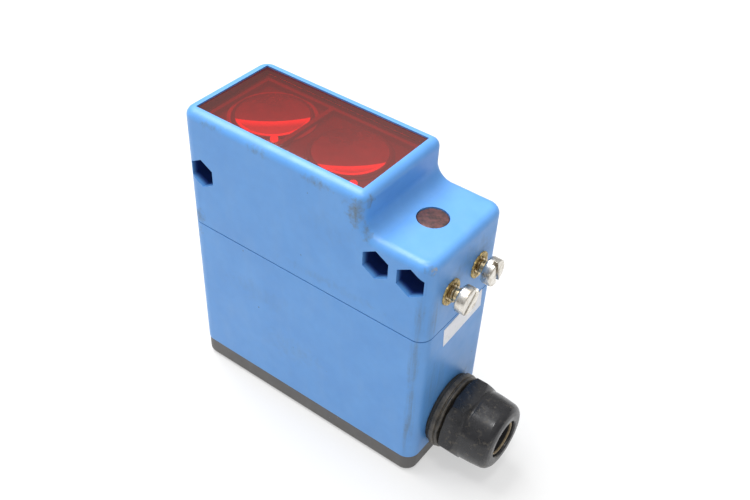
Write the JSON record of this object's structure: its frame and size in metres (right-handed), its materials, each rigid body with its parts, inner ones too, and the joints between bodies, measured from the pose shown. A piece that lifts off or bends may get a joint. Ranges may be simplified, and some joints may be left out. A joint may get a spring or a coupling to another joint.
{
  "type": "photoelectric sensor",
  "caption": "Stepped two-shell block sensor with a red front window over two lenses, nut-pocket cross holes, slotted mounting screws and a cable gland on one end.",
  "frame": {"origin": "centre of the rear cover's flat underside", "axes": "+Z along the optical axis, out of the red front window; +X towards the cable gland; Y across the narrow width"},
  "size_m": [0.0923, 0.031, 0.0838],
  "materials": {
    "blue_housing": "fine satin moulding with grime and scuffs",
    "dark_cover": "dark grey satin",
    "red_window": "polished, deep red",
    "red_indicator": "deep red, worn",
    "clear_lens": "polished",
    "clear_plastic": "clear",
    "black_plastic": "black, matt",
    "gland_plastic": "black polyamide, worn sheen",
    "black_rubber": "matt",
    "grey_rubber": "matt",
    "brass": "dull",
    "bright_steel": "nickel plated, slightly tarnished",
    "sheet_metal": "tinned",
    "board_green": "solder mask",
    "led_red": "clear red",
    "chip_black": "moulded epoxy",
    "relay_blue": "matt",
    "can_sleeve": "shrink sleeve",
    "terminal_green": "matt",
    "terminal_metal": "tinned brass",
    "trimmer_grey": "matt",
    "rotor_white": "matt",
    "rotor_yellow": "matt",
    "paper_label": "blank paper, slightly dirty"
  },
  "bodies": {
    "cover": {"rear_cover": "dark_cover", "cover_gasket": "black_rubber"},
    "housing": {"optics_housing": "blue_housing", "terminal_housing": "blue_housing", "housing_seal": "black_rubber", "housing_screws": "bright_steel", "front_window": "red_window", "window_seal": "black_rubber", "indicator_window": "red_indicator", "light_guide": "clear_plastic", "signal_led": "led_red", "optics_carrier": "black_plastic", "sender_lens": "clear_lens", "receiver_lens": "clear_lens", "sender_retainer": "black_plastic", "receiver_retainer": "black_plastic", "optics_board": "board_green", "carrier_screws": "bright_steel", "sender_led": "led_red", "receiver_diode": "chip_black", "receiver_shield": "sheet_metal", "main_board": "board_green", "relay": "relay_blue", "electrolytic_capacitors": "can_sleeve", "control_chips": "chip_black", "board_link": "chip_black", "chamber_deck": "black_plastic", "deck_screws": "bright_steel", "terminal_block": "terminal_green", "terminal_clamps": "terminal_metal", "terminal_screws": "bright_steel", "sensitivity_trimmer": "trimmer_grey", "mode_selector": "trimmer_grey", "threaded_inserts": "brass", "gland_body": "gland_plastic", "gland_flange_seal": "black_rubber", "cable_grommet": "grey_rubber", "stock_label": "paper_label"},
    "cover_screw_a": {"cover_screw_a": "bright_steel"},
    "cover_screw_b": {"cover_screw_b": "bright_steel"},
    "near_screw": {"mounting_screw_near": "bright_steel"},
    "far_screw": {"mounting_screw_far": "bright_steel"},
    "clamp_ring": {"clamp_ring": "black_plastic"},
    "gland_nut": {"gland_nut": "gland_plastic"},
    "sensitivity_rotor": {"sensitivity_rotor": "rotor_white"},
    "selector_rotor": {"selector_rotor": "rotor_yellow"}
  },
  "joints": [
    {"name": "housing_lift", "type": "slide", "parent": "cover", "child": "housing", "axis": [0, 0, 1], "range_m": [0, 0.04]},
    {"name": "cover_screw_a_turn", "type": "hinge", "parent": "cover", "child": "cover_screw_a", "pos_m": [-0.0284, -0.0074, 0.003], "axis": [0, 0, 1], "continuous": true},
    {"name": "cover_screw_b_turn", "type": "hinge", "parent": "cover", "child": "cover_screw_b", "pos_m": [0.0205, 0.0074, 0.003], "axis": [0, 0, 1], "continuous": true},
    {"name": "near_screw_slide", "type": "slide", "parent": "housing", "child": "near_screw", "axis": [1, 0, 0], "range_m": [-0.0025, 0.007]},
    {"name": "far_screw_slide", "type": "slide", "parent": "housing", "child": "far_screw", "axis": [1, 0, 0], "range_m": [-0.002, 0.007]},
    {"name": "gland_ring_slide", "type": "slide", "parent": "housing", "child": "clamp_ring", "axis": [1, 0, 0], "range_m": [-0.00051, 0.00601]},
    {"name": "gland_nut_turn", "type": "hinge", "parent": "clamp_ring", "child": "gland_nut", "pos_m": [0.045, 0, 0.0145], "axis": [1, 0, 0], "range_deg": [-120, 1440]},
    {"name": "sensitivity_turn", "type": "hinge", "parent": "housing", "child": "sensitivity_rotor", "pos_m": [0.01, 0.0055, 0.0235], "axis": [0, 0, -1], "range_deg": [-135, 135]},
    {"name": "selector_turn", "type": "hinge", "parent": "housing", "child": "selector_rotor", "pos_m": [0.01, -0.0055, 0.0235], "axis": [0, 0, -1], "range_deg": [0, 90]}
  ],
  "couplings": [
    {"joint": "gland_ring_slide", "follows": "gland_nut_turn", "m_per_rad": 0.00023873}
  ]
}
